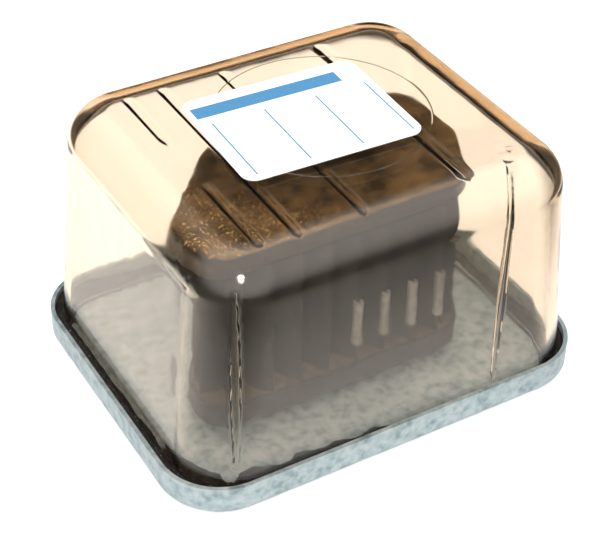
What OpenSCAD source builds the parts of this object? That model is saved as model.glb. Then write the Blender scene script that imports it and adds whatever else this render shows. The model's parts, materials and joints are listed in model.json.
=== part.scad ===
// Box-style disposable fuel filter: a clear bowl potted into a shallow steel
// base pan, with a two-stage pleated element standing on the pan inside it.
// Millimetres. X runs along the long side, +Z points up from the pan's flat
// underside, and the origin is at the middle of that underside.

/* [Base pan] */
// Length of the pan over its rim
pan_l = 98; // [96:0.5:102]
// Width of the pan over its rim
pan_w = 78.6; // [78:0.1:82]
// Height of the upstanding rim
pan_h = 6.8; // [6:0.1:9]
// Corner radius of the rim, seen from above
pan_r = 13.9; // [13:0.1:15]
// Sheet thickness of the pan
pan_t = 0.9; // [0.7:0.1:1]
// Outside radius of the bend between floor and rim
bend_r = 1.6; // [1.2:0.1:2]

/* [Bowl] */
// Overall height, from the underside of the pan to the top of the label
height = 57.5; // [55:0.5:62]
// Wall thickness of the bowl
wall = 2.2; // [1.8:0.1:2.4]
// Gap between the bowl's foot and the rim at each end
end_gap = 1.9; // [1.6:0.1:2.3]
// Mean gap between the bowl's foot and the rim along each side
side_gap = 0.6; // [0.5:0.05:0.7]
// How far the bowl stands nearer to the rim's front side
bowl_shift = 0.35; // [0:0.05:0.4]
// How far each end leans inwards over the bowl's height
end_draft = 3.8; // [3:0.1:4.6]
// How far each side leans inwards over the bowl's height
side_draft = 0.5; // [0.2:0.1:1]
// Radius of the bowl's upright corners
bowl_r = 12.8; // [12:0.1:13.5]
// Radius of the edge around the bowl's top
edge_r = 9.4; // [8:0.1:10]
// Places of the ribs inside the top face, along X
rib_places = [-28.2, -20.2, -6, 17.4];
// Places along X of the front wall's ribs, each at its foot and its top
wall_rib_places = [[-37.2, -37.2], [22.2, 20]];
// Width of a top rib
rib_w = 1.5; // [1:0.1:2]
// Depth of a top rib
rib_d = 0.9; // [0.5:0.1:1.2]

/* [Ports] */
// Distance of both ports from the middle, along X
port_x = 4.5; // [3:0.5:6]
// Place of the inlet across the width
inlet_y = 25; // [24.8:0.1:25]
// Place of the outlet across the width
outlet_y = -3; // [-3.5:0.1:-2.5]
// Radius of the grommet bore that seals on a nozzle
port_r = 4; // [3:0.1:4]
// Radius of the recess that a grommet sits in
seat_r = 7.9; // [7.5:0.1:7.9]
// Depth of that recess
seat_d = 2.2; // [1.8:0.1:2.4]
// Radius of the hole that holds a grommet
neck_r = 5.6; // [5.4:0.1:5.8]
// Radius of the two sockets for guide pins
guide_r = 3.2; // [2.5:0.1:3.2]
// Depth of the guide pin sockets
guide_d = 4.5; // [3:0.1:4.6]
// Distance of each guide pin socket from the outlet, along X
guide_x = 14.5; // [13.5:0.1:14.8]

/* [Element] */
// Corner radius of the element's outline
elem_r = 8; // [7.8:0.1:8.2]
// Height of the top of the element's cap above the underside
elem_top = 47.4; // [46:0.1:48]
// Wall thickness of the moulded end caps
cap_t = 1; // [0.8:0.1:1.2]
// Radius of the cap's upper edge
cap_edge_r = 1.8; // [1:0.1:2.4]
// Height of the base cap's skirt above the underside
base_skirt_z = 4.6; // [4:0.1:5]
// Distance between two folds of the first stage
pleat_pitch = 6.6; // [6.2:0.1:7.2]
// Thickness of the first stage's paper, measured across the loop
paper_t = 1; // [0.8:0.1:1.2]
// Distance between two folds of the second stage
fine_pitch = 3.2; // [3:0.1:3.6]

/* [Label] */
// Length of the label
label_l = 40.2; // [38:0.1:41]
// Width of the label
label_w = 31.6; // [28:0.1:32]
// Thickness of the label
label_t = 0.2; // [0.1:0.05:0.3]

/* [Hidden] */
$fn = 64;
eps = 0.01;
// Most degrees that one chord of a rounded outline spans
chord_angle = 7.5;

// Heights, from the underside up
floor_z = pan_t;
foot_z = floor_z + 0.8;
foot_top = 8;
bowl_top = height - label_t;
bond_out_z = pan_h - 1.3;
bond_in_z = floor_z + 1.6;
seat_top = seat_d + pan_t;
flange_top = seat_top + 1.5;
retainer_top = flange_top + 0.6;
seal_top = retainer_top + 0.6;
tube_flange_top = seal_top + 0.8;
bead_top = floor_z + 1.1;
base_plate_top = tube_flange_top + 1.4;
media_z = base_plate_top + 1.2;
tray_top = media_z + 0.3;
cap_plate_z = elem_top - 1.8;
media_top = cap_plate_z - 1.4;
cap_skirt_z = elem_top - 4.6;

// Outlines, seen from above
inner_l = pan_l - 2 * pan_t;
inner_w = pan_w - 2 * pan_t;
inner_r = pan_r - pan_t;
foot_l = inner_l - 2 * end_gap;
foot_w = inner_w - 2 * side_gap;
bond_in = 1.2;
outlet = [port_x, outlet_y];
inlet = [port_x, inlet_y];
guides = [for (side = [-1, 1]) [port_x + side * guide_x, outlet_y]];

// Corner centres of the element, anticlockwise; one corner is cut back
// so that fuel can run past it from the bowl's back to its sump end
elem_pts = [[-27, -12.5], [20.5, -12.5], [25, -3], [25, 8], [-13, 8], [-27, -8]];
// Outer distance of the base cap's foot ring from those centres
ring_r = 1.8;
ring_w = 1.4;
// Corner centres of the frame around the second stage
frame_pts = [[-9, -7.7], [16.6, -7.7], [16.6, 2.2], [-9, 2.2]];
frame_r = 5;
frame_t = 1;
core_r = 4.9;

// ---- Outlines ----

module soft_rect(l, w, r) {
    square([l - 2 * r, w], center = true);
    square([l, w - 2 * r], center = true);
    for (sx = [-1, 1], sy = [-1, 1])
        translate([sx * (l / 2 - r), sy * (w / 2 - r)]) circle(r);
}

function heading(p, q) = (q - p) / norm(q - p);
function outward(p, q) = [heading(p, q).y, -heading(p, q).x];
function next(pts, i) = pts[(i + 1) % len(pts)];
function prev(pts, i) = pts[(i + len(pts) - 1) % len(pts)];
function bearing(v) = atan2(v.y, v.x);
function turn(pts, i) = (bearing(outward(pts[i], next(pts, i)))
    - bearing(outward(prev(pts, i), pts[i])) + 360) % 360;

// Rounded outline at distance r outside a convex loop of points, each of its
// corners an arc of short chords
module soft_poly(pts, r) {
    polygon([for (i = [0 : len(pts) - 1])
        let (from = bearing(outward(prev(pts, i), pts[i])), sweep = turn(pts, i))
        let (n = ceil(sweep / chord_angle))
        for (k = [0 : n])
            let (a = from + sweep * k / n) pts[i] + r * [cos(a), sin(a)]]);
}

module soft_ring(pts, r_out, r_in) {
    difference() {
        soft_poly(pts, r_out);
        soft_poly(pts, r_in);
    }
}

// Stations along such an outline: a point of the loop and the way outwards
function even(x) = 2 * round(x / 2);
function corner_stations(pts, i, step, r) =
    let (from = bearing(outward(prev(pts, i), pts[i])), sweep = turn(pts, i))
    let (n = even(r * sweep * PI / 180 / step))
    [for (k = [0 : n - 1])
        let (a = from + sweep * k / n) [pts[i], [cos(a), sin(a)]]];
function side_stations(pts, i, step) =
    let (span = next(pts, i) - pts[i], way = outward(pts[i], next(pts, i)))
    let (n = max(2, even(norm(span) / step)))
    [for (k = [0 : n - 1]) [pts[i] + span * k / n, way]];
function stations(pts, step, r) = [for (i = [0 : len(pts) - 1])
    each concat(corner_stations(pts, i, step, r), side_stations(pts, i, step))];
function folds(s, r_out, r_in) = [for (k = [0 : len(s) - 1])
    s[k][0] + s[k][1] * (k % 2 == 0 ? r_out : r_in)];

// Pleated loop of paper, folded between two distances outside the points
module pleats(pts, pitch, r_out, r_in, t) {
    s = stations(pts, pitch / 2, (r_out + r_in) / 2);
    difference() {
        polygon(folds(s, r_out, r_in));
        polygon(folds(s, r_out - t, r_in - t));
    }
}

// ---- Base pan ----

// Carries a profile around a rounded rectangle; x is the distance outwards
// from the centres of the corners
module around(l, w, r) {
    for (k = [0 : 3]) {
        half = (k % 2 == 0) ? [l / 2 - r, w / 2 - r] : [w / 2 - r, l / 2 - r];
        rotate([0, 0, 90 * k]) {
            translate([half.x, half.y, 0])
                rotate_extrude(angle = 90) children();
            translate([half.x, half.y, 0])
                rotate([90, 0, 0])
                    linear_extrude(2 * half.y) children();
        }
    }
}

module rim_profile() {
    translate([pan_r - pan_t, bend_r]) square([pan_t, pan_h - bend_r]);
    intersection() {
        translate([pan_r - bend_r, bend_r]) difference() {
            circle(bend_r);
            circle(bend_r - pan_t);
        }
        translate([pan_r - bend_r, 0]) square(bend_r);
    }
    square([pan_r - bend_r, pan_t]);
}

module drawn_cup(at, r, d) {
    translate([at.x, at.y, 0]) cylinder(r = r + pan_t, h = d + pan_t);
}

module base_pan() {
    color([0.62, 0.66, 0.68]) difference() {
        union() {
            around(pan_l, pan_w, pan_r) rim_profile();
            linear_extrude(pan_t)
                square([pan_l - 2 * pan_r, pan_w - 2 * pan_r], center = true);
            for (p = [inlet, outlet]) drawn_cup(p, seat_r, seat_d);
            for (p = guides) drawn_cup(p, guide_r, guide_d);
        }
        for (p = [inlet, outlet]) translate([p.x, p.y, 0]) {
            translate([0, 0, -eps]) cylinder(r = seat_r, h = seat_d + eps);
            cylinder(r = neck_r, h = seat_top + eps);
        }
        for (p = guides) translate([p.x, p.y, -eps])
            cylinder(r = guide_r, h = guide_d + eps);
    }
}

// ---- Bowl ----

// Body of revolution with a rounded upper edge, one for each top corner
module top_corner(r, e) {
    rotate_extrude($fn = 48) {
        square([r - e + eps, e]);
        intersection() {
            translate([r - e, 0]) circle(e, $fn = 48);
            square([r, e]);
        }
    }
}

// Tapering solid with rounded edges, drawn in from the bowl's outside
module bowl_form(inset) {
    half = [foot_l / 2 - bowl_r, foot_w / 2 - bowl_r];
    drafts = [end_draft, side_draft];
    hull() for (sx = [-1, 1], sy = [-1, 1]) {
        translate([sx * half.x, sy * half.y, foot_top - eps])
            cylinder(r = bowl_r - inset, h = eps, $fn = 48);
        translate([sx * (half.x - drafts.x), sy * (half.y - drafts.y), bowl_top - edge_r])
            top_corner(bowl_r - inset, edge_r - inset);
    }
}

module top_ribs() {
    rib_l = foot_w - 2 * (side_draft + edge_r) + 4;
    rib_gap = 17;
    difference() {
        for (x = rib_places)
            translate([x - rib_w / 2, -rib_l / 2, bowl_top - wall - rib_d])
                cube([rib_w, rib_l, rib_d + 0.5]);
        translate([rib_places[0] - rib_w, -rib_gap / 2, bowl_top - wall - 2 * rib_d])
            cube([2 * rib_w, rib_gap, 2 * rib_d - eps]);
    }
}

// Round bar from one point to another
module bar(p, q, r) {
    way = q - p;
    translate(p) rotate([0, acos(way.z / norm(way)), atan2(way.y, way.x)])
        cylinder(r = r, h = norm(way), $fn = 24);
}

// Place on the bowl's inner face, at the front, for a place along X; the
// draft is how far the walls have leant in
function front_face(x, draft_x, draft_y) =
    let (r = bowl_r - wall, past = abs(x) - (foot_l / 2 - bowl_r - draft_x))
    draft_y - (foot_w / 2 - bowl_r) - (past > 0 ? sqrt(r * r - past * past) : r);

// Upright ribs inside the front wall, one at the sump end's corner
module wall_ribs() {
    low = foot_top;
    high = bowl_top - edge_r;
    for (x = wall_rib_places)
        bar([x[0], front_face(x[0], 0, 0), low],
            [x[1], front_face(x[1], end_draft, side_draft), high], rib_w * 0.75);
}

module bowl() {
    color([0.93, 0.84, 0.70, 0.45]) translate([0, -bowl_shift, 0]) {
        difference() {
            union() {
                bowl_form(0);
                translate([0, 0, foot_z]) linear_extrude(foot_top - foot_z)
                    soft_rect(foot_l, foot_w, bowl_r);
            }
            bowl_form(wall);
            translate([0, 0, foot_z - eps]) linear_extrude(foot_top - foot_z + eps)
                soft_rect(foot_l - 2 * wall, foot_w - 2 * wall, bowl_r - wall);
        }
        top_ribs();
        wall_ribs();
    }
}

module label() {
    color([0.97, 0.97, 0.98]) translate([-1, 2.5, bowl_top]) rotate([0, 0, -1.9])
        linear_extrude(label_t) soft_rect(label_l, label_w, 3);
}

// Black sealant that fills the rim around the bowl's foot
module bowl_bond() {
    color([0.06, 0.06, 0.06]) difference() {
        union() {
            translate([0, 0, bend_r]) linear_extrude(bond_out_z - bend_r)
                soft_rect(inner_l, inner_w, inner_r);
            translate([0, 0, floor_z]) linear_extrude(bend_r - floor_z)
                soft_rect(inner_l - 2, inner_w - 2, inner_r - 1);
        }
        translate([0, -bowl_shift, 0]) {
            translate([0, 0, foot_z]) linear_extrude(pan_h)
                soft_rect(foot_l, foot_w, bowl_r);
            linear_extrude(pan_h) inner_edge();
        }
    }
    color([0.06, 0.06, 0.06]) translate([0, -bowl_shift, foot_z])
        linear_extrude(bond_in_z - foot_z) difference() {
            soft_rect(foot_l - 2 * wall, foot_w - 2 * wall, bowl_r - wall);
            inner_edge();
        }
}

module inner_edge() {
    cut = wall + bond_in;
    soft_rect(foot_l - 2 * cut, foot_w - 2 * cut, bowl_r - cut);
}

// ---- Ports ----

module grommet(at) {
    color([0.07, 0.07, 0.07]) translate([at.x, at.y, 0]) difference() {
        union() {
            translate([0, 0, 0.2]) cylinder(r = seat_r - 0.3, h = seat_d - 0.2);
            cylinder(r = neck_r, h = flange_top);
            translate([0, 0, seat_top])
                cylinder(r = neck_r + 1.3, h = flange_top - seat_top);
        }
        translate([0, 0, -eps]) cylinder(r = port_r, h = flange_top + 1);
        translate([0, 0, -eps]) cylinder(r = neck_r + eps, h = 0.2 + eps);
    }
}

module inlet_grommet() {
    grommet(inlet);
}

module outlet_grommet() {
    grommet(outlet);
}

// Pressed ring that holds a grommet's upper flange down on the pan
module retainer(at) {
    color([0.70, 0.71, 0.72]) translate([at.x, at.y, seat_top]) difference() {
        cylinder(r = neck_r + 2.2, h = retainer_top - seat_top);
        translate([0, 0, -eps])
            cylinder(r = neck_r + 1.3, h = flange_top - seat_top + eps);
        cylinder(r = port_r + 0.8, h = 5);
    }
}

module inlet_retainer() {
    retainer(inlet);
}

module outlet_retainer() {
    retainer(outlet);
}

// Hood over the inlet, open towards the sump end
module inlet_baffle() {
    l = 24;
    w = 17.4;
    h = 15;
    t = 0.8;
    color([0.12, 0.12, 0.13])
        translate([inlet.x + 2, inlet.y, floor_z]) difference() {
            linear_extrude(h) soft_rect(l, w, 3);
            translate([0, 0, -eps]) linear_extrude(h - t)
                soft_rect(l - 2 * t, w - 2 * t, 3 - t);
            translate([-l / 2 - 1, -w / 2 - 1, -eps]) cube([5, w + 2, h - 3]);
        }
}

// ---- Element ----

module element_bead() {
    color([0.05, 0.05, 0.05]) translate([0, 0, floor_z])
        linear_extrude(bead_top - floor_z)
            soft_ring(elem_pts, ring_r + 0.2, ring_r - ring_w - 0.2);
}

// Moulded tray under the folds, on a narrower ring that stands on the pan
module element_base_cap() {
    color([0.09, 0.09, 0.10]) {
        difference() {
            translate([0, 0, base_skirt_z]) linear_extrude(tray_top - base_skirt_z)
                soft_poly(elem_pts, elem_r);
            translate([0, 0, base_skirt_z - eps])
                linear_extrude(tube_flange_top - base_skirt_z + eps)
                    soft_poly(elem_pts, elem_r - cap_t);
            translate([0, 0, base_plate_top]) linear_extrude(tray_top)
                soft_poly(elem_pts, elem_r - cap_t);
            translate([outlet.x, outlet.y, 0])
                cylinder(r = core_r - 0.75, h = tray_top);
        }
        translate([0, 0, bead_top]) linear_extrude(tube_flange_top - bead_top + 0.4)
            soft_ring(elem_pts, ring_r, ring_r - ring_w);
    }
}

module outlet_seal() {
    color([0.10, 0.10, 0.10]) translate([outlet.x, outlet.y, retainer_top])
        difference() {
            cylinder(r = 6.6, h = seal_top - retainer_top);
            translate([0, 0, -eps]) cylinder(r = port_r + 0.4, h = 2);
        }
}

module outlet_tube() {
    color([0.15, 0.15, 0.16]) translate([outlet.x, outlet.y, seal_top])
        difference() {
            union() {
                cylinder(r = 6.6, h = tube_flange_top - seal_top);
                cylinder(r = core_r - 0.8, h = 14);
            }
            translate([0, 0, -eps]) cylinder(r = core_r - 1.9, h = 15);
        }
}

module adhesive_bed(z, h) {
    color([0.16, 0.14, 0.12]) translate([0, 0, z]) linear_extrude(h)
        difference() {
            soft_poly(elem_pts, elem_r - cap_t - 0.05);
            translate(outlet) circle(core_r + 0.05);
        }
}

module base_adhesive() {
    adhesive_bed(base_plate_top, media_z - base_plate_top);
}

module top_adhesive() {
    adhesive_bed(media_top, cap_plate_z - media_top);
}

module first_stage_media() {
    r_out = elem_r - cap_t - 0.2;
    color([0.33, 0.31, 0.30]) translate([0, 0, media_z])
        linear_extrude(media_top - media_z)
            pleats(elem_pts, pleat_pitch, r_out, 1.4, paper_t);
}

// Streaks of spacer glue on the tips of the folds at the front's right end
module first_stage_spacers() {
    front = elem_pts[1].x - elem_pts[0].x;
    n = even(front / (pleat_pitch / 2));
    step = 2 * front / n;
    tip_y = elem_pts[0].y - (elem_r - cap_t - 0.2);
    color([0.55, 0.54, 0.50]) for (k = [0 : 3])
        translate([elem_pts[1].x - k * step, tip_y + 0.5, 14])
            cylinder(r = 1, h = 11, $fn = 24);
}

// Folded strip that closes the seam of a pleated loop
module seam_clip(w, d, z, h) {
    t = 0.4;
    color([0.72, 0.73, 0.74]) translate([0, 0, z]) linear_extrude(h) difference() {
        square([w, d]);
        translate([t, -eps]) square([w - 2 * t, d - t]);
    }
}

module first_stage_clip() {
    translate([-19, -12, 0]) seam_clip(2.2, 4, media_z + 1, media_top - media_z - 2);
}

module stage_frame() {
    win_l = 5;
    win_h = 9;
    span = frame_pts[1].x - frame_pts[0].x;
    color([0.20, 0.20, 0.21]) translate([0, 0, media_z]) difference() {
        linear_extrude(media_top - media_z)
            soft_ring(frame_pts, frame_r, frame_r - frame_t);
        for (i = [0 : 3], j = [0 : 2])
            translate([frame_pts[0].x + span * (i + 0.5) / 4 - win_l / 2, -30, 3 + 11.5 * j])
                cube([win_l, 60, win_h]);
    }
}

module second_stage_media() {
    color([0.85, 0.80, 0.66]) translate([0, 0, media_z])
        linear_extrude(media_top - media_z)
            pleats(frame_pts, fine_pitch, frame_r - frame_t - 0.3, 1, 0.6);
}

module second_stage_clip() {
    translate([11.5, -7.5, 0]) seam_clip(1.6, 3, media_z + 1, media_top - media_z - 2);
}

// Perforated tube that carries clean fuel to the outlet
module centre_tube() {
    rows = 5;
    hole_r = 1.1;
    len = media_top - base_plate_top;
    color([0.75, 0.76, 0.77]) translate([outlet.x, outlet.y, base_plate_top])
        difference() {
            cylinder(r = core_r, h = len);
            translate([0, 0, -eps]) cylinder(r = core_r - 0.7, h = len + 1);
            for (i = [0 : rows - 1], a = [0 : 60 : 120])
                translate([0, 0, len * (i + 1.4) / (rows + 1.2)])
                    rotate([90, 0, a]) cylinder(r = hole_r, h = 20, center = true);
        }
}

// Moulded cap with a rounded upper edge, hollow underneath
module element_cap() {
    edge_steps = 6;
    color([0.05, 0.045, 0.04]) difference() {
        hull() for (k = [0 : edge_steps])
            let (a = 90 * k / edge_steps)
            translate([0, 0, cap_skirt_z])
                linear_extrude(elem_top - cap_skirt_z - cap_edge_r * (1 - sin(a)))
                    soft_poly(elem_pts, elem_r - cap_edge_r * (1 - cos(a)));
        translate([0, 0, cap_skirt_z - eps])
            linear_extrude(cap_plate_z - cap_skirt_z + eps)
                soft_poly(elem_pts, elem_r - cap_t);
    }
}

bowl();
base_pan();
bowl_bond();
inlet_grommet();
outlet_grommet();
inlet_retainer();
outlet_retainer();
inlet_baffle();
element_bead();
element_base_cap();
outlet_seal();
outlet_tube();
base_adhesive();
first_stage_media();
first_stage_spacers();
first_stage_clip();
stage_frame();
second_stage_media();
second_stage_clip();
centre_tube();
top_adhesive();
element_cap();
label();
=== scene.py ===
import json
import math

import bmesh
import bpy
from mathutils import Matrix, Vector, noise


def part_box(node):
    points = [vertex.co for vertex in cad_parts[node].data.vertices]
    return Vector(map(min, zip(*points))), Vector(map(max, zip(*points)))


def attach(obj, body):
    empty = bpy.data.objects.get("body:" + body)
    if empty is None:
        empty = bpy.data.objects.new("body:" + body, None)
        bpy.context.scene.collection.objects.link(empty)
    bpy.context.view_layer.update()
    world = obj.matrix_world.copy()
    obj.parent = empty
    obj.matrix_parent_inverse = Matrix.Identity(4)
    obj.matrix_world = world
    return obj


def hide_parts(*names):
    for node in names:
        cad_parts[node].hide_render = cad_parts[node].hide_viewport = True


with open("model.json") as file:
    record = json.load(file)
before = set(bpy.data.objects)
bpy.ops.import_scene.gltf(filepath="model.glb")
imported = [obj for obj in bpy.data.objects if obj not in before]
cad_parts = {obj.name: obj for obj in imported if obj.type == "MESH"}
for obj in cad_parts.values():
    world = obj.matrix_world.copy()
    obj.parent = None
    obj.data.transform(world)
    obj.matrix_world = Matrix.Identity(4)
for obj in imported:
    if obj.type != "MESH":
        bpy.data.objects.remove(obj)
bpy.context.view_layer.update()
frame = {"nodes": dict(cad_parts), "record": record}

# Lengths below are in millimetres, and MM turns them into Blender's metres.
MM = 0.001


def box_mm(node):
    """Lowest and highest corner of a CAD node, in millimetres."""
    low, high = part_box(node)
    return low / MM, high / MM


# ---- Sizes, from the frame and from the design ----

BOWL_LOW, BOWL_HIGH = box_mm("bowl")
PAN_HIGH = box_mm("base_pan")[1]
CAP_LOW, CAP_HIGH = box_mm("element_cap")

# The bowl: its wall, its upright corners, the rounded edge around its top and that edge's extra
# thickness, how far its ends and its sides lean in over its height, and the top of its upright foot
WALL = 2.2
BOWL_R = 12.8
EDGE_R = 9.4
EDGE_FILL = 0.4
END_DRAFT = 3.8
SIDE_DRAFT = 0.5
FOOT_TOP = 8.0
BOWL_Y = (BOWL_LOW.y + BOWL_HIGH.y) / 2
CORE_X = (BOWL_HIGH.x - BOWL_LOW.x) / 2 - BOWL_R
CORE_Y = (BOWL_HIGH.y - BOWL_LOW.y) / 2 - BOWL_R
TOP_CORE_X = CORE_X - END_DRAFT
TOP_CORE_Y = CORE_Y - SIDE_DRAFT
FOOT_Z = BOWL_LOW.z
TOP_Z = BOWL_HIGH.z

# The pan: its upright corners and its sheet's thickness
PAN_R = 13.9
PAN_T = 0.9

# The element: its outline lies this far outside the loop of its corner centres
ELEMENT_R = 8.0
ELEMENT_CORNERS = [(-27, -12.5), (20.5, -12.5), (25, -3), (25, 8), (-13, 8), (-27, -8)]
# The cap: its rounded edge, its skirt's thickness and its crown's thickness
CAP_EDGE_R = 1.8
CAP_T = 1.0
CAP_PLATE = 1.8

# Ribs inside the top face: their width, their depth, and for each its place along X and its two ends
# along Y
RIB_W = 1.7
RIB_D = 0.32
TOP_RIBS = [
    (-28.2, -29.0, -8.0),
    (-28.2, 9.0, 27.5),
    (-20.2, -29.5, 27.5),
    (-6.0, -29.5, 27.5),
    (17.4, -29.5, 27.5),
]
# Ribs inside the front wall; each is its foot (x, z), its top (x, z), its width and its depth
LENS_X = 23.6
WALL_RIBS = [
    ((-37.2, 10.0), (-37.2, 50.0), 2.6, 0.9),
    ((LENS_X, 8.5), (LENS_X, 55.0), 2.0, 0.9),
]
# How far these ribs lean towards +X for each millimetre that the rounded edge carries them back
RIB_LEAN = 0.59
# Share of a wall rib's width and depth that is left at its ends
RIB_END = 0.55

# ---- Small helpers ----


def link(name, data):
    """A new object in the scene, for a mesh, a light or a camera."""
    made = bpy.data.objects.new(name, data)
    bpy.context.scene.collection.objects.link(made)
    return made


def smooth(mesh, angle):
    """Smooth shading, except across edges sharper than the angle."""
    mesh.polygons.foreach_set("use_smooth", [True] * len(mesh.polygons))
    mesh.set_sharp_from_angle(angle=math.radians(angle))


# Vertices closer together than this, in metres, become one
WELD = 1e-7
# Edges sharper than this, in degrees, stay sharp on new pieces, on soft-edged ones and on CAD pieces
EDGE_ANGLE = 40
SOFT_ANGLE = 60
CAD_ANGLE = 30


def finish_mesh(name, bm, angle=EDGE_ANGLE):
    """Makes one object of the mesh, its faces turned outwards and its edges sharp only past the angle."""
    bmesh.ops.remove_doubles(bm, verts=bm.verts, dist=WELD)
    bmesh.ops.recalc_face_normals(bm, faces=bm.faces)
    mesh = bpy.data.meshes.new(name)
    bm.to_mesh(mesh)
    bm.free()
    smooth(mesh, angle)
    return link(name, mesh)


def dress(piece, material):
    """Gives a piece one material."""
    piece.data.materials.clear()
    piece.data.materials.append(material)


def settle(piece, material, slot, *nodes):
    """Gives a new piece its material and its body, and hides the CAD nodes it stands for."""
    dress(piece, material)
    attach(piece, "root")
    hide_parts(*nodes)


# ---- Lofts around a rounded rectangle ----


# Share of a finer stretch's width, on each side of its centre, that is cleared of coarser places
CLEARED = 0.6


def spread(low, high, step, close=()):
    """Places from low to high about a step apart; close has (centre, width, places) of finer stretches."""
    count = max(1, round((high - low) / step))
    places = [low + (high - low) * k / count for k in range(1, count)]
    for centre, width, lines in close:
        places = [p for p in places if abs(p - centre) > width * CLEARED]
        places += [centre + width * (k / (lines - 1) - 0.5) for k in range(lines)]
    return [low, *sorted(p for p in places if low < p < high), high]


def loop_stations(us, vs, corner_steps):
    """Stations around a rounded rectangle, anticlockwise from its front left.

    Each is (u, v, nx, ny): a place on the rectangle of corner centres, as shares of
    its half sizes, and the direction outwards."""
    sides = [
        ([(u, -1) for u in us], (0, -1)),
        ([(1, v) for v in vs], (1, 0)),
        ([(u, 1) for u in reversed(us)], (0, 1)),
        ([(-1, v) for v in reversed(vs)], (-1, 0)),
    ]
    out = []
    for k, (places, way) in enumerate(sides):
        out += [(u, v, *way) for u, v in places]
        for j in range(1, corner_steps):
            a = math.radians(90 * (k - 1 + j / corner_steps))
            out.append((*places[-1], math.cos(a), math.sin(a)))
    return out


def clamp(value):
    """The value, held between 0 and 1."""
    return max(0.0, min(1.0, value))


def add_ring(bm, points):
    """A ring's vertices, from its points in millimetres."""
    return [bm.verts.new(p * MM) for p in points]


def bridge(bm, low, high):
    """Faces between two rings with the same number of points."""
    for k in range(len(low)):
        n = (k + 1) % len(low)
        bm.faces.new((low[k], low[n], high[n], high[k]))


def bridge_all(bm, rings, closed=False):
    """Faces from each ring to the next, and from the last to the first where it is closed."""
    for a, b in zip(rings, rings[1:]):
        bridge(bm, a, b)
    if closed:
        bridge(bm, rings[-1], rings[0])


def grid_patch(bm, us, vs, point_at):
    """A sheet of faces over a grid; point_at gives the point for each pair of u and v."""
    rows = [[bm.verts.new(point_at(u, v) * MM) for u in us] for v in vs]
    for a, b in zip(rows, rows[1:]):
        for k in range(len(us) - 1):
            bm.faces.new((a[k], a[k + 1], b[k + 1], b[k]))


# ---- Bowl ----

# Mesh columns along X: a step, with finer stretches under the top ribs and around the long front rib
COLUMN_STEP = 1.6
RIB_COLUMNS = 11
LENS_STRETCH = (LENS_X + 1.0, 4.6, 25)
FINE_STRETCHES = [(x, RIB_W, RIB_COLUMNS) for x in sorted({rib[0] for rib in TOP_RIBS})] + [LENS_STRETCH]
# Mesh rows along Y, and steps around the upright corners, around the rounded edge, down the walls, down
# the foot and across the rest of the top face
ROW_STEP = 1.4
CORNER_STEPS = 40
EDGE_STEPS = 30
WALL_STEPS = 56
FOOT_STEPS = 3
FLAT_STEPS = 4
# Share of each long side, from its middle, whose mesh columns stay upright. The columns past it take up
# the ends' draft
KEPT_UPRIGHT = 0.83
BOWL_US = [x / TOP_CORE_X for x in spread(-TOP_CORE_X, TOP_CORE_X, COLUMN_STEP, FINE_STRETCHES)]
BOWL_VS = [y / TOP_CORE_Y for y in spread(-TOP_CORE_Y, TOP_CORE_Y, ROW_STEP)]
BOWL_STATIONS = loop_stations(BOWL_US, BOWL_VS, CORNER_STEPS)


def capsule(along, across, start, end, width):
    """1 in the middle of a round-ended bar, falling to 0 on its outline."""
    past = max(start - along, along - end, 0.0)
    reach = math.hypot(across, past) / (width / 2)
    return math.sqrt(max(0.0, 1 - reach * reach))


def rib_depth(p, on_front):
    """How far the bowl's inner surface stands in at a point, for its moulded ribs."""
    depth = 0.0
    if p.z > TOP_Z - EDGE_R:
        for x, start, end in TOP_RIBS:
            if abs(p.x - x) < RIB_W:
                inset = RIB_W / 2
                rise = capsule(p.y - BOWL_Y, p.x - x, start + inset, end - inset, RIB_W)
                depth = max(depth, RIB_D * rise)
    if on_front:
        for (x0, z0), (x1, z1), width, most in WALL_RIBS:
            t = (p.z - z0) / (z1 - z0)
            taper = RIB_END + (1 - RIB_END) * math.sin(math.pi * clamp(t))
            across = p.x - x0 - (x1 - x0) * t - RIB_LEAN * (p.y - BOWL_LOW.y - WALL)
            depth = max(depth, most * taper * capsule(p.z, across, z0, z1, width * taper))
    return depth


def bowl_rings(inset):
    """Rings of the bowl's surface at an inset, from the top face down to its foot.

    Each is (half length, half width of the corner centres, radius, z, tilt), where
    the tilt is 90 degrees on the top face and 0 on the walls."""
    rings = []
    flat = BOWL_R - EDGE_R
    for k in range(FLAT_STEPS + 1):
        rings.append((TOP_CORE_X, TOP_CORE_Y, flat * k / FLAT_STEPS, TOP_Z - inset, 90.0))
    for k in range(1, EDGE_STEPS + 1):
        a = math.radians(90 * k / EDGE_STEPS)
        arc = EDGE_R - inset - (EDGE_FILL * math.sin(2 * a) ** 2 if inset else 0)
        z = TOP_Z - EDGE_R + arc * math.cos(a)
        rings.append((TOP_CORE_X, TOP_CORE_Y, flat + arc * math.sin(a), z, 90.0 * (1 - k / EDGE_STEPS)))
    high = TOP_Z - EDGE_R
    for k in range(1, WALL_STEPS + 1):
        t = k / WALL_STEPS
        z = high + (FOOT_TOP - high) * t
        rings.append((TOP_CORE_X + END_DRAFT * t, TOP_CORE_Y + SIDE_DRAFT * t, BOWL_R - inset, z, 0.0))
    for k in range(1, FOOT_STEPS + 1):
        z = FOOT_TOP + (FOOT_Z - FOOT_TOP) * k / FOOT_STEPS
        rings.append((CORE_X, CORE_Y, BOWL_R - inset, z, 0.0))
    return rings


# A wall counts as the front wall where the Y part of its outward direction is below this
FRONT_TURN = -0.2


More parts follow.
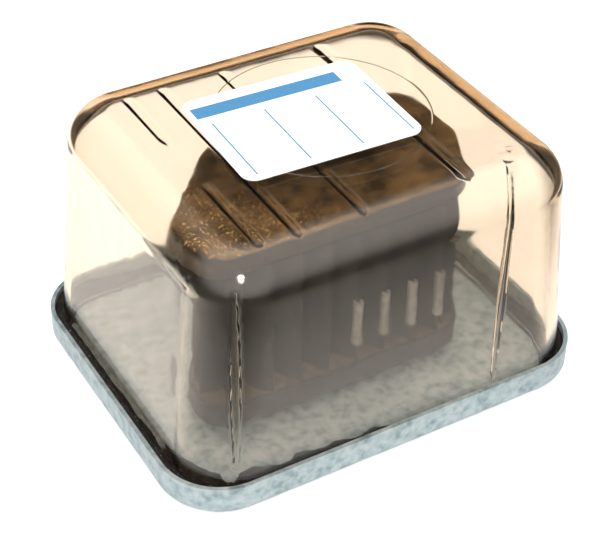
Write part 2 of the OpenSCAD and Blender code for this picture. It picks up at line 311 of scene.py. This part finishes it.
def bowl_ring_points(ring, inner):
    """Points of one of the bowl's rings; the inner surface stands in where a rib is."""
    half_x, half_y, r, z, tilt = ring
    up, out = math.sin(math.radians(tilt)), math.cos(math.radians(tilt))
    points = []
    for u, v, nx, ny in BOWL_STATIONS:
        share = max(0.0, abs(u) - KEPT_UPRIGHT) / (1 - KEPT_UPRIGHT)
        lean = (half_x - TOP_CORE_X) * math.copysign(share, u)
        p = Vector((u * TOP_CORE_X + lean + nx * r, v * half_y + ny * r + BOWL_Y, z))
        if inner:
            on_front = out > 0 and ny < FRONT_TURN
            p -= Vector((nx * out, ny * out, up)) * rib_depth(p, on_front)
        points.append(p)
    return points


def make_bowl():
    """The clear bowl: an outer and an inner surface, each a top face and a loft, joined at the foot."""
    bm = bmesh.new()
    foot = None
    for inset in (0.0, WALL):
        inner = inset > 0

        def top_place(u, v):
            p = Vector((u * TOP_CORE_X, v * TOP_CORE_Y + BOWL_Y, TOP_Z - inset))
            if inner:
                p.z -= rib_depth(p, False)
            return p

        grid_patch(bm, BOWL_US, BOWL_VS, top_place)
        rings = [add_ring(bm, bowl_ring_points(r, inner)) for r in bowl_rings(inset)]
        bridge_all(bm, rings)
        if inner:
            bridge(bm, foot, rings[-1])
        foot = rings[-1]
    return finish_mesh("clear_bowl", bm, SOFT_ANGLE)


# ---- Sealant ----


# A hair's breadth between faces that would otherwise lie in one place
GAP = 0.02
# The sealant's lowest level in the rim, its extra height where it is full, and its underside above the
# pan's floor
SEAL_LEVEL = 1.6
SEAL_EXTRA = 3.5
SEAL_UNDERSIDE = 0.7
# The squeezed-in fillet: its least width and height, and what is added where it is full
FILLET_WIDTH = 0.5
FILLET_EXTRA_WIDTH = 6.5
FILLET_HEIGHT = 0.4
FILLET_EXTRA_HEIGHT = 2.0


def ripple(x, y, z, size):
    """Smooth noise between -1 and 1; the size is that of its lumps, in millimetres.

    Where z is a bare number, all it does is pick which part of the noise is used."""
    return noise.noise(Vector((x, y, z)) / size)


def sealant_height(x, y):
    """Height of the poured sealant in the rim: full along the front and left, low along the rest."""
    full = clamp(max((-x - 10) / 30, (-y - 8) / 22))
    return SEAL_LEVEL + SEAL_EXTRA * full + 0.3 * ripple(x, y, 0, 5) + 0.15 * ripple(x, y, 9, 1.7)


def bowl_foot(u, v, nx, ny, radius):
    """The point of the bowl's foot at a station, with upright corners of that radius."""
    return Vector((u * CORE_X + nx * radius, v * CORE_Y + ny * radius + BOWL_Y, 0))


def add_inner_fillet(bm, stations):
    """The sealant that was squeezed in under the bowl's foot: wide and ragged along the front."""
    wall_r = BOWL_R - WALL - GAP
    rings = []
    # Each row is a share of the fillet's width inwards from the wall, and a share of its height
    for share, rise in [(0.0, 1.0), (0.12, 0.8), (0.35, 0.5), (0.7, 0.22), (1.0, 0.0), (0.0, 0.0)]:
        ring = []
        for u, v, nx, ny in stations:
            foot = bowl_foot(u, v, nx, ny, wall_r)
            full = clamp((-foot.y - 12) / 18) * clamp((40 - foot.x) / 60)
            ragged = 0.8 + 0.45 * ripple(foot.x, foot.y, 20, 7) + 0.08 * ripple(foot.x, foot.y, 25, 1.8)
            uneven = 0.8 + 0.4 * ripple(foot.x, foot.y, 60, 3)
            width = FILLET_WIDTH + FILLET_EXTRA_WIDTH * full * ragged
            height = FILLET_HEIGHT + FILLET_EXTRA_HEIGHT * full * uneven
            p = foot - Vector((nx, ny, 0)) * width * share
            p.z = PAN_T + GAP + height * rise
            ring.append(p)
        rings.append(ring)
    bridge_all(bm, [add_ring(bm, ring) for ring in rings], closed=True)


# Half the sealant's columns along its long sides and along its short sides, and its steps around a corner
SEAL_COLUMNS = 60
SEAL_ROWS = 45
SEAL_CORNER_STEPS = 36
# Each row of the sealant's top is a share of the way from the rim to the bowl's foot, and a rise above
# its level
SEAL_TOP = [(0.0, 0.35), (0.08, 0.12), (0.25, 0.0), (0.5, -0.05), (0.75, 0.05), (0.9, 0.4), (1.0, 1.2)]
# Past this share of the way, the sealant climbs the bowl's foot unevenly
CLIMB_FROM = 0.8


def make_sealant():
    """The poured sealant between the rim and the bowl's foot, and the fillet inside the foot."""
    bm = bmesh.new()
    us = [k / SEAL_COLUMNS for k in range(-SEAL_COLUMNS, SEAL_COLUMNS + 1)]
    vs = [k / SEAL_ROWS for k in range(-SEAL_ROWS, SEAL_ROWS + 1)]
    stations = loop_stations(us, vs, SEAL_CORNER_STEPS)
    in_x, in_y, in_r = PAN_HIGH.x - PAN_R, PAN_HIGH.y - PAN_R, PAN_R - PAN_T
    rings = []
    for share, rise in SEAL_TOP:
        ring = []
        for u, v, nx, ny in stations:
            outer = Vector((u * in_x + nx * in_r, v * in_y + ny * in_r, 0))
            p = outer.lerp(bowl_foot(u, v, nx, ny, BOWL_R - GAP), share)
            climb = 0.55 + 0.45 * ripple(outer.x, outer.y, 30, 6) + 0.2 * ripple(outer.x, outer.y, 40, 1.6)
            level = sealant_height(outer.x, outer.y)
            near_corner = clamp((-outer.x - outer.y - 20) / 50)
            p.z = level + rise * (climb if share > CLIMB_FROM else 1.0) * (1 + 1.2 * near_corner)
            p.z += 0.12 * ripple(p.x, p.y, 70, 0.9)
            ring.append(p)
        rings.append(ring)
    foot_low = [Vector((p.x, p.y, FOOT_Z)) for p in rings[-1]]
    rim_low = [Vector((p.x, p.y, PAN_T + SEAL_UNDERSIDE)) for p in rings[0]]
    rings += [foot_low, rim_low]
    bridge_all(bm, [add_ring(bm, ring) for ring in rings], closed=True)
    add_inner_fillet(bm, stations)
    return finish_mesh("sealant_bead", bm, SOFT_ANGLE)


# ---- Element cap ----


# The cap's mesh: a step along its sides, in millimetres, a step around its corners, in degrees, and the
# rings of its crown, of its rounded edge and of its skirt
CAP_STEP = 0.9
CAP_CORNER_STEP = 6
CROWN_RINGS = 22
CAP_EDGE_RINGS = 8
SKIRT_RINGS = 3


def unit(degrees):
    """The direction at that many degrees from +X towards +Y."""
    return Vector((math.cos(math.radians(degrees)), math.sin(math.radians(degrees)), 0))


def element_stations(step, corner_step):
    """Stations around the element: a point of its loop of corner centres and the way outwards."""
    corners = [Vector((x, y, 0)) for x, y in ELEMENT_CORNERS]
    ways = []
    for k, p in enumerate(corners):
        along = corners[(k + 1) % len(corners)] - p
        ways.append(math.degrees(math.atan2(-along.x, along.y)))
    out = []
    for k, p in enumerate(corners):
        start, sweep = ways[k - 1], (ways[k] - ways[k - 1]) % 360
        count = max(1, round(sweep / corner_step))
        out += [(p, unit(start + sweep * j / count)) for j in range(count)]
        after = corners[(k + 1) % len(corners)]
        count = max(1, round((after - p).length / step))
        out += [(p.lerp(after, j / count), unit(ways[k])) for j in range(count)]
    return out


def sink(p):
    """How far the cap's skin is pulled in: shallow dimples, and crinkles at its front left corner."""
    near = clamp((-p.x - p.y - 20) / 26)
    dimples = 0.10 * (1 + ripple(p.x, p.y, p.z, 5.5))
    folds = 0.30 * near * abs(ripple(p.x, p.y, p.z + 50, 2.6))
    return dimples + folds + 0.05 * near * abs(ripple(p.x, p.y, p.z + 90, 1.1))


def make_cap():
    """The moulded cap over the folds: flat crown, rounded edge, skirt and hollow underside."""
    bm = bmesh.new()
    stations = element_stations(CAP_STEP, CAP_CORNER_STEP)
    top, low = CAP_HIGH.z, CAP_LOW.z
    crown_r = ELEMENT_R - CAP_EDGE_R
    centre = Vector(((CAP_LOW.x + CAP_HIGH.x) / 2, (CAP_LOW.y + CAP_HIGH.y) / 2, top))
    rings = []
    for k in range(CROWN_RINGS + 1):
        ring = []
        for p, way in stations:
            q = centre.lerp(p + way * crown_r + Vector((0, 0, top)), k / CROWN_RINGS)
            q.z -= sink(q)
            ring.append(q)
        rings.append(ring)
    # Each ring past the crown is a distance outwards, a height, and how far its skin has turned from up
    profile = []
    for k in range(1, CAP_EDGE_RINGS + 1):
        a = math.radians(90 * k / CAP_EDGE_RINGS)
        profile.append((crown_r + CAP_EDGE_R * math.sin(a), top - CAP_EDGE_R * (1 - math.cos(a)), a))
    skirt_top = top - CAP_EDGE_R
    for k in range(1, SKIRT_RINGS + 1):
        profile.append((ELEMENT_R, skirt_top + (low - skirt_top) * k / SKIRT_RINGS, math.pi / 2))
    for r, z, lean in profile:
        ring = []
        for p, way in stations:
            q = p + way * r + Vector((0, 0, z))
            skin = Vector((0, 0, math.cos(lean))) + way * math.sin(lean)
            ring.append(q - skin * (sink(q) if z > low else 0))
        rings.append(ring)
    inside = ELEMENT_R - CAP_T
    for r, z in ((inside, low), (inside, top - CAP_PLATE)):
        rings.append([p + way * r + Vector((0, 0, z)) for p, way in stations])
    rings.append([Vector((centre.x, centre.y, top - CAP_PLATE))] * len(stations))
    bridge_all(bm, [add_ring(bm, ring) for ring in rings])
    return finish_mesh("filter_cap", bm)


# ---- Materials ----


def new_material(name):
    """A material, its nodes, its links and its shader."""
    material = bpy.data.materials.new(name)
    material.use_nodes = True
    nodes = material.node_tree.nodes
    return material, nodes, material.node_tree.links, nodes["Principled BSDF"]


def set_inputs(node, **values):
    """Sets sockets by name, with underscores for spaces."""
    for key, value in values.items():
        node.inputs[key.replace("_", " ")].default_value = value


def place(nodes, links, stretch=(1, 1, 1)):
    """Object coordinates in millimetres, stretched along each axis."""
    coords = nodes.new("ShaderNodeTexCoord")
    mapping = nodes.new("ShaderNodeMapping")
    mapping.inputs["Scale"].default_value = [v / MM for v in stretch]
    links.new(coords.outputs["Object"], mapping.inputs["Vector"])
    return mapping.outputs["Vector"]


def noise_of(nodes, links, vector, size, detail=4.0, roughness=0.55):
    """Noise with lumps of the given size, in the unit of the vector."""
    tex = nodes.new("ShaderNodeTexNoise")
    set_inputs(tex, Scale=1.0 / size, Detail=detail, Roughness=roughness)
    links.new(vector, tex.inputs["Vector"])
    return tex.outputs["Fac"]


def ramp(nodes, links, fac, stops):
    """Colour ramp; each stop is (place, colour)."""
    node = nodes.new("ShaderNodeValToRGB")
    while len(node.color_ramp.elements) < len(stops):
        node.color_ramp.elements.new(0.5)
    for element, (at, colour) in zip(node.color_ramp.elements, stops):
        element.position = at
        element.color = (*colour, 1)
    links.new(fac, node.inputs["Fac"])
    return node.outputs["Color"]


def spread_value(nodes, links, fac, low, high, start=0.3, end=0.7):
    """Maps start to end of a value onto low to high."""
    node = nodes.new("ShaderNodeMapRange")
    set_inputs(node, From_Min=start, From_Max=end, To_Min=low, To_Max=high)
    links.new(fac, node.inputs["Value"])
    return node.outputs["Result"]


def math_node(nodes, links, kind, a, b=None):
    """One maths node; a and b are each a number or a socket."""
    node = nodes.new("ShaderNodeMath")
    node.operation = kind
    for socket, value in zip(node.inputs, (a, b)):
        if value is None:
            continue
        if isinstance(value, (int, float)):
            socket.default_value = value
        else:
            links.new(value, socket)
    return node.outputs["Value"]


def mix_colour(nodes, links, fac, a, b):
    """Colour a where the factor is 0 and b where it is 1; each is a colour or a socket."""
    node = nodes.new("ShaderNodeMix")
    node.data_type = "RGBA"
    for socket, value in ((node.inputs[0], fac), (node.inputs[6], a), (node.inputs[7], b)):
        if isinstance(value, tuple):
            socket.default_value = (*value, 1)
        else:
            links.new(value, socket)
    return node.outputs[2]


def add_bump(nodes, links, shader, height, depth):
    """Bump whose full height is the depth, in millimetres."""
    bump = nodes.new("ShaderNodeBump")
    set_inputs(bump, Strength=1.0, Distance=depth * MM)
    links.new(height, bump.inputs["Height"])
    links.new(bump.outputs["Normal"], shader.inputs["Normal"])


def mottled(name, stops, size, roughness, bump, metallic=0.0, grain=(1, 1, 1), fine=0.4):
    """Patchy surface: a colour ramp over broad noise, finer roughness and bump."""
    material, nodes, links, shader = new_material(name)
    vector = place(nodes, links, grain)
    broad = noise_of(nodes, links, vector, size)
    small = noise_of(nodes, links, vector, fine, 3.0)
    links.new(ramp(nodes, links, broad, stops), shader.inputs["Base Color"])
    links.new(spread_value(nodes, links, small, *roughness), shader.inputs["Roughness"])
    set_inputs(shader, Metallic=metallic)
    add_bump(nodes, links, shader, small, bump)
    return material


# Size of the zinc's crystal patches
SPANGLE_SIZE = 2.2


def zinc_material():
    """Zinc plate with soft crystal patches, an uneven sheen and fine scratches."""
    material, nodes, links, shader = new_material("zinc_plate")
    vector = place(nodes, links)
    broad = noise_of(nodes, links, vector, 2.0, 5.0, 0.6)
    spangle = nodes.new("ShaderNodeTexVoronoi")
    set_inputs(spangle, Scale=1 / SPANGLE_SIZE)
    links.new(vector, spangle.inputs["Vector"])
    shade = math_node(nodes, links, "MULTIPLY_ADD", spangle.outputs["Distance"], 0.25)
    links.new(broad, shade.node.inputs[2])
    colour = ramp(nodes, links, shade, [
        (0.36, (0.17, 0.21, 0.22)),
        (0.50, (0.23, 0.29, 0.30)),
        (0.62, (0.31, 0.37, 0.38)),
        (0.80, (0.40, 0.45, 0.46)),
    ])
    links.new(colour, shader.inputs["Base Color"])
    scratches = noise_of(nodes, links, place(nodes, links, (0.25, 0.25, 4)), 0.7, 3.0)
    links.new(spread_value(nodes, links, broad, 0.34, 0.58), shader.inputs["Roughness"])
    set_inputs(shader, Metallic=0.75)
    add_bump(nodes, links, shader, scratches, 0.03)
    return material


def sealant_material():
    """Poured black sealant with grit and dust on it."""
    material, nodes, links, shader = new_material("sealant")
    vector = place(nodes, links)
    broad = noise_of(nodes, links, vector, 2.5)
    grit = noise_of(nodes, links, vector, 0.35, 2.0)
    dark = ramp(nodes, links, broad, [(0.35, (0.003, 0.0028, 0.0025)), (0.7, (0.016, 0.011, 0.007))])
    specks = spread_value(nodes, links, grit, 0.0, 1.0, 0.66, 0.72)
    links.new(mix_colour(nodes, links, specks, dark, (0.30, 0.27, 0.22)), shader.inputs["Base Color"])
    links.new(spread_value(nodes, links, grit, 0.3, 0.65), shader.inputs["Roughness"])
    set_inputs(shader, Specular_IOR_Level=0.25)
    add_bump(nodes, links, shader, grit, 0.12)
    return material


# Witness circle on the bowl's top: centre, radius and line width
CIRCLE_X, CIRCLE_Y, CIRCLE_R, CIRCLE_W = 3.6, 2.1, 22.6, 0.44


def clear_plastic():
    """Amber clear plastic: absorption for the tint, slight waviness and haze, and a witness circle."""
    material, nodes, links, shader = new_material("clear_plastic")
    set_inputs(shader, Base_Color=(1, 1, 1, 1), IOR=1.5, Transmission_Weight=1.0)
    vector = place(nodes, links)
    waves = noise_of(nodes, links, vector, 14.0, 2.0)
    haze = noise_of(nodes, links, vector, 9.0, 4.0)
    links.new(spread_value(nodes, links, haze, 0.03, 0.10), shader.inputs["Roughness"])
    split = nodes.new("ShaderNodeSeparateXYZ")
    links.new(vector, split.inputs["Vector"])
    dx = math_node(nodes, links, "SUBTRACT", split.outputs["X"], CIRCLE_X)
    dy = math_node(nodes, links, "SUBTRACT", split.outputs["Y"], CIRCLE_Y)
    dx2 = math_node(nodes, links, "MULTIPLY", dx, dx)
    dy2 = math_node(nodes, links, "MULTIPLY", dy, dy)
    reach = math_node(nodes, links, "SQRT", math_node(nodes, links, "ADD", dx2, dy2))
    away = math_node(nodes, links, "ABSOLUTE", math_node(nodes, links, "SUBTRACT", reach, CIRCLE_R))
    line = spread_value(nodes, links, away, 1.0, 0.0, 0.0, CIRCLE_W / 2)
    high = math_node(nodes, links, "GREATER_THAN", split.outputs["Z"], TOP_Z - 1)
    groove = math_node(nodes, links, "MULTIPLY", line, high)
    height = math_node(nodes, links, "MULTIPLY_ADD", groove, 0.5)
    links.new(waves, height.node.inputs[2])
    add_bump(nodes, links, shader, height, 0.12)
    tint = nodes.new("ShaderNodeVolumeAbsorption")
    set_inputs(tint, Color=(0.88, 0.62, 0.26, 1), Density=150.0)
    links.new(tint.outputs["Volume"], nodes["Material Output"].inputs["Volume"])
    return material


def cap_material():
    """Glossy black moulding: its crown is tinted brown as painted warm light, and towards the front left
    it carries gold specks that are painted glints.
    """
    material, nodes, links, shader = new_material("black_cap")
    vector = place(nodes, links)
    broad = noise_of(nodes, links, vector, 6.0)
    crinkle = noise_of(nodes, links, vector, 1.1, 4.0, 0.65)
    # The crown's brown is painted warm light on a black moulding, and the skirt below its edge stays black
    crown_painted_warm_light = ramp(nodes, links, broad, [(0.35, (0.020, 0.012, 0.005)), (0.65, (0.100, 0.058, 0.022))])
    split = nodes.new("ShaderNodeSeparateXYZ")
    links.new(vector, split.inputs["Vector"])
    across = math_node(nodes, links, "ADD", split.outputs["X"], split.outputs["Y"])
    towards = math_node(nodes, links, "MULTIPLY", across, -1.0)
    # Painted gold glints: bright gold specks mixed into the colour on the crown towards the front left
    # stand in for warm reflections
    corner = spread_value(nodes, links, towards, 0.0, 1.0, 18.0, 42.0)
    crown = spread_value(nodes, links, split.outputs["Z"], 0.0, 1.0, CAP_HIGH.z - 1.3, CAP_HIGH.z - 0.4)
    dark = mix_colour(nodes, links, crown, (0.006, 0.0055, 0.005), crown_painted_warm_light)
    fine = noise_of(nodes, links, vector, 0.5, 2.0)
    glint_specks = spread_value(nodes, links, fine, 0.0, 1.0, 0.60, 0.70)
    glint_area = math_node(nodes, links, "MULTIPLY", corner, crown)
    painted_gold_glints = math_node(nodes, links, "MULTIPLY", glint_area, glint_specks)
    links.new(mix_colour(nodes, links, painted_gold_glints, dark, (0.85, 0.55, 0.24)), shader.inputs["Base Color"])
    links.new(spread_value(nodes, links, crinkle, 0.14, 0.3), shader.inputs["Roughness"])
    set_inputs(shader, Specular_IOR_Level=0.5, Specular_Tint=(1.0, 0.78, 0.52, 1))
    height = math_node(nodes, links, "ADD", crinkle, math_node(nodes, links, "MULTIPLY", broad, 2.0))
    add_bump(nodes, links, shader, height, 0.18)
    return material


# Print on the label, in its own frame: thin rules along its width, and one bar along its length
LABEL_X, LABEL_Y, LABEL_TURN = -1.0, 2.5, -1.9
LABEL_BAR = (-19.0, 14.5, 8.6, 12.6)
LABEL_RULES = [-17.0, -5.2, 6.6, 18.2]
RULE_LOW, RULE_HIGH, RULE_W = -14.0, 6.0, 0.35


def label_material():
    """White film label with a plain blue bar and ruled lines, and no lettering."""
    material, nodes, links, shader = new_material("label_film")
    coords = nodes.new("ShaderNodeTexCoord")
    mapping = nodes.new("ShaderNodeMapping")
    mapping.vector_type = "TEXTURE"
    mapping.inputs["Location"].default_value = (LABEL_X * MM, LABEL_Y * MM, 0)
    mapping.inputs["Rotation"].default_value = (0, 0, math.radians(LABEL_TURN))
    mapping.inputs["Scale"].default_value = (MM, MM, MM)
    links.new(coords.outputs["Object"], mapping.inputs["Vector"])
    split = nodes.new("ShaderNodeSeparateXYZ")
    links.new(mapping.outputs["Vector"], split.inputs["Vector"])
    x, y = split.outputs["X"], split.outputs["Y"]

    def between(value, low, high):
        above = math_node(nodes, links, "GREATER_THAN", value, low)
        below = math_node(nodes, links, "LESS_THAN", value, high)
        return math_node(nodes, links, "MULTIPLY", above, below)

    def box_mask(x0, x1, y0, y1):
        return math_node(nodes, links, "MULTIPLY", between(x, x0, x1), between(y, y0, y1))

    ink = box_mask(*LABEL_BAR)
    for rule in LABEL_RULES:
        line = box_mask(rule - RULE_W / 2, rule + RULE_W / 2, RULE_LOW, RULE_HIGH)
        ink = math_node(nodes, links, "MAXIMUM", ink, line)
    fibre = noise_of(nodes, links, mapping.outputs["Vector"], 0.5, 3.0)
    paper = ramp(nodes, links, fibre, [(0.3, (0.80, 0.81, 0.84)), (0.7, (0.88, 0.88, 0.90))])
    blue = ramp(nodes, links, fibre, [(0.3, (0.05, 0.19, 0.36)), (0.7, (0.08, 0.25, 0.44))])
    links.new(mix_colour(nodes, links, ink, paper, blue), shader.inputs["Base Color"])
    links.new(spread_value(nodes, links, fibre, 0.4, 0.55), shader.inputs["Roughness"])
    add_bump(nodes, links, shader, fibre, 0.01)
    return material


def make_materials():
    """Every finish of the record, by its slot."""
    rubber = [(0.35, (0.012, 0.012, 0.013)), (0.65, (0.03, 0.03, 0.031))]
    steel = [(0.3, (0.52, 0.53, 0.54)), (0.7, (0.74, 0.75, 0.76))]
    moulding = [(0.35, (0.010, 0.010, 0.011)), (0.65, (0.022, 0.022, 0.023))]
    adhesive = [(0.35, (0.03, 0.024, 0.018)), (0.65, (0.07, 0.055, 0.04))]
    dark = [(0.3, (0.009, 0.0088, 0.009)), (0.7, (0.020, 0.019, 0.0185))]
    cream = [(0.3, (0.60, 0.50, 0.33)), (0.7, (0.76, 0.67, 0.47))]
    glue = [(0.3, (0.10, 0.10, 0.09)), (0.7, (0.20, 0.195, 0.175))]
    return {
        "clear_plastic": clear_plastic(),
        "zinc_plate": zinc_material(),
        "sealant": sealant_material(),
        "grommet_rubber": mottled("grommet_rubber", rubber, 4.0, (0.45, 0.65), 0.02),
        "bright_steel": mottled("bright_steel", steel, 5.0, (0.22, 0.38), 0.01, 0.95, (1, 1, 6)),
        "dark_moulding": mottled("dark_moulding", moulding, 3.0, (0.5, 0.7), 0.03),
        "black_cap": cap_material(),
        "adhesive": mottled("adhesive", adhesive, 2.0, (0.25, 0.5), 0.15, fine=1.2),
        "dark_paper": mottled("dark_paper", dark, 5.0, (0.7, 0.9), 0.05, grain=(1, 1, 0.3)),
        "spacer_glue": mottled("spacer_glue", glue, 1.5, (0.25, 0.4), 0.05),
        "cream_paper": mottled("cream_paper", cream, 3.0, (0.7, 0.9), 0.05, grain=(1, 1, 0.4)),
        "label_film": label_material(),
    }


# ---- Stage ----


# The floor, in metres: half its side, how far it lies below the object, and its grain. It is pale where
# the camera looks. In reflections and refractions it shows a painted pool of light, darkening between two
# distances from a point behind the object
FLOOR_HALF = 3.0
FLOOR_DROP = 0.0002
FLOOR_GRAIN = 0.004
POOL = (-0.01, 0.06, 0)
FLOOR_NEAR = 0.11
FLOOR_FAR = 0.17


def not_seen_directly(nodes, links):
    """1 for light that reaches the camera by way of the object, 0 for what the camera sees directly."""
    path = nodes.new("ShaderNodeLightPath")
    return math_node(nodes, links, "SUBTRACT", 1.0, path.outputs["Is Camera Ray"])


def make_stage():
    """A plain pale floor; for light that comes by way of the object it carries a painted pool of light,
    darkening further out.
    """
    bm = bmesh.new()
    bmesh.ops.create_grid(bm, x_segments=1, y_segments=1, size=FLOOR_HALF)
    floor = finish_mesh("floor", bm)
    floor.location.z = -FLOOR_DROP
    material, nodes, links, shader = new_material("floor_white")
    coords = nodes.new("ShaderNodeTexCoord")
    reach = nodes.new("ShaderNodeVectorMath")
    reach.operation = "DISTANCE"
    reach.inputs[1].default_value = POOL
    links.new(coords.outputs["Object"], reach.inputs[0])
    # Painted pool of light: in reflections and refractions the floor's colour darkens away from POOL
    painted_pool_falloff = spread_value(nodes, links, reach.outputs["Value"], 0.0, 1.0, FLOOR_NEAR, FLOOR_FAR)
    painted_pool_falloff = math_node(nodes, links, "MULTIPLY", painted_pool_falloff, not_seen_directly(nodes, links))
    grain = noise_of(nodes, links, coords.outputs["Object"], FLOOR_GRAIN)
    pale = ramp(nodes, links, grain, [(0.3, (0.93, 0.93, 0.93)), (0.7, (0.96, 0.96, 0.96))])
    links.new(mix_colour(nodes, links, painted_pool_falloff, pale, (0.05, 0.045, 0.04)), shader.inputs["Base Color"])
    set_inputs(shader, Roughness=0.9, Specular_IOR_Level=0.1)
    floor.data.materials.append(material)


# The studio: a bright dome, brightest above the object and towards its front, that fades to a dim room
# behind it. The camera itself sees a plain pale backdrop
DOME_AXIS = (-0.20, -0.35, 0.915)
DOME_EDGE, DOME_FULL = 0.15, 0.75
DOME_BRIGHT = 2.0
DOME_DIM = 0.015
BACKDROP = 0.97


def make_world():
    """The dome and the backdrop."""
    world = bpy.data.worlds.new("studio")
    world.use_nodes = True
    nodes, links = world.node_tree.nodes, world.node_tree.links
    background = nodes["Background"]
    coords = nodes.new("ShaderNodeTexCoord")
    dot = nodes.new("ShaderNodeVectorMath")
    dot.operation = "DOT_PRODUCT"
    dot.inputs[1].default_value = DOME_AXIS
    links.new(coords.outputs["Generated"], dot.inputs[0])
    level = nodes.new("ShaderNodeMapRange")
    level.interpolation_type = "SMOOTHSTEP"
    set_inputs(level, From_Min=DOME_EDGE, From_Max=DOME_FULL, To_Min=DOME_DIM, To_Max=DOME_BRIGHT)
    links.new(dot.outputs["Value"], level.inputs["Value"])
    choose = nodes.new("ShaderNodeMix")
    choose.inputs[2].default_value = BACKDROP
    links.new(not_seen_directly(nodes, links), choose.inputs[0])
    links.new(level.outputs["Result"], choose.inputs[3])
    links.new(choose.outputs[0], background.inputs["Strength"])
    background.inputs["Color"].default_value = (1, 1, 1, 1)
    bpy.context.scene.world = world


# The key light: its place and its aim, its width in metres and its power in watts
KEY_PLACE = Vector((-0.45, -0.75, 0.95))
KEY_AIM = Vector((0, 0, 0.03))
KEY_SIZE = 0.2
KEY_POWER = 7


def make_key_light():
    """One disc-shaped light from the front left, above."""
    data = bpy.data.lights.new("key", "AREA")
    data.shape = "DISK"
    data.size = KEY_SIZE
    data.energy = KEY_POWER
    light = link("key", data)
    light.location = KEY_PLACE
    light.rotation_euler = (KEY_AIM - KEY_PLACE).to_track_quat("-Z", "Y").to_euler()


# The view: angles in degrees, how far the camera stands from the point it aims at, and its lens in
# millimetres
CAM_AZIMUTH = -30.61
CAM_ELEVATION = 37.99
CAM_ROLL = 0.94
CAM_DISTANCE = 333.0
CAM_LENS = 95.65
CAM_AIM = Vector((-7.1, -6.1, 26.6))
CAM_SHIFT = (0.0098, 0.0053)


def make_camera():
    """The camera at the photograph's angle."""
    a, e = math.radians(CAM_AZIMUTH), math.radians(CAM_ELEVATION)
    back = Vector((math.sin(a) * math.cos(e), -math.cos(a) * math.cos(e), math.sin(e)))
    right = Vector((math.cos(a), math.sin(a), 0))
    up = back.cross(right)
    roll = math.radians(CAM_ROLL)
    side = right * math.cos(roll) + up * math.sin(roll)
    data = bpy.data.cameras.new("camera")
    data.lens = CAM_LENS
    data.shift_x, data.shift_y = CAM_SHIFT
    data.clip_start, data.clip_end = 0.01, 20
    camera = link("camera", data)
    turn = Matrix((side, back.cross(side), back)).transposed().to_4x4()
    camera.matrix_world = Matrix.Translation((CAM_AIM + back * CAM_DISTANCE) * MM) @ turn
    bpy.context.scene.camera = camera


# ---- The scene ----

make_camera()
make_stage()
make_world()
make_key_light()

MATERIALS = make_materials()
bowl = make_bowl()
# Light has to reach what is inside the clear bowl
bowl.visible_shadow = False
settle(bowl, MATERIALS["clear_plastic"], "clear_plastic", "bowl")
settle(make_sealant(), MATERIALS["sealant"], "sealant", "bowl_bond")
settle(make_cap(), MATERIALS["black_cap"], "black_cap", "element_cap")

REPLACED = ("bowl", "bowl_bond", "element_cap")
SLOTS = {part["node"]: part["material_slot"] for part in frame["record"]["subparts"]}
for name, node in frame["nodes"].items():
    if name in REPLACED:
        continue
    # The painted gold glints belong to the crown only, so the lower end cap gets the plain moulding
    looks = "dark_moulding" if name == "element_base_cap" else SLOTS[name]
    dress(node, MATERIALS[looks])
    smooth(node.data, CAD_ANGLE)

# Light passes many surfaces on its way through the clear bowl
BOUNCES = 24
scene = bpy.context.scene
scene.view_settings.view_transform = "Standard"
scene.cycles.max_bounces = BOUNCES
scene.cycles.transmission_bounces = BOUNCES
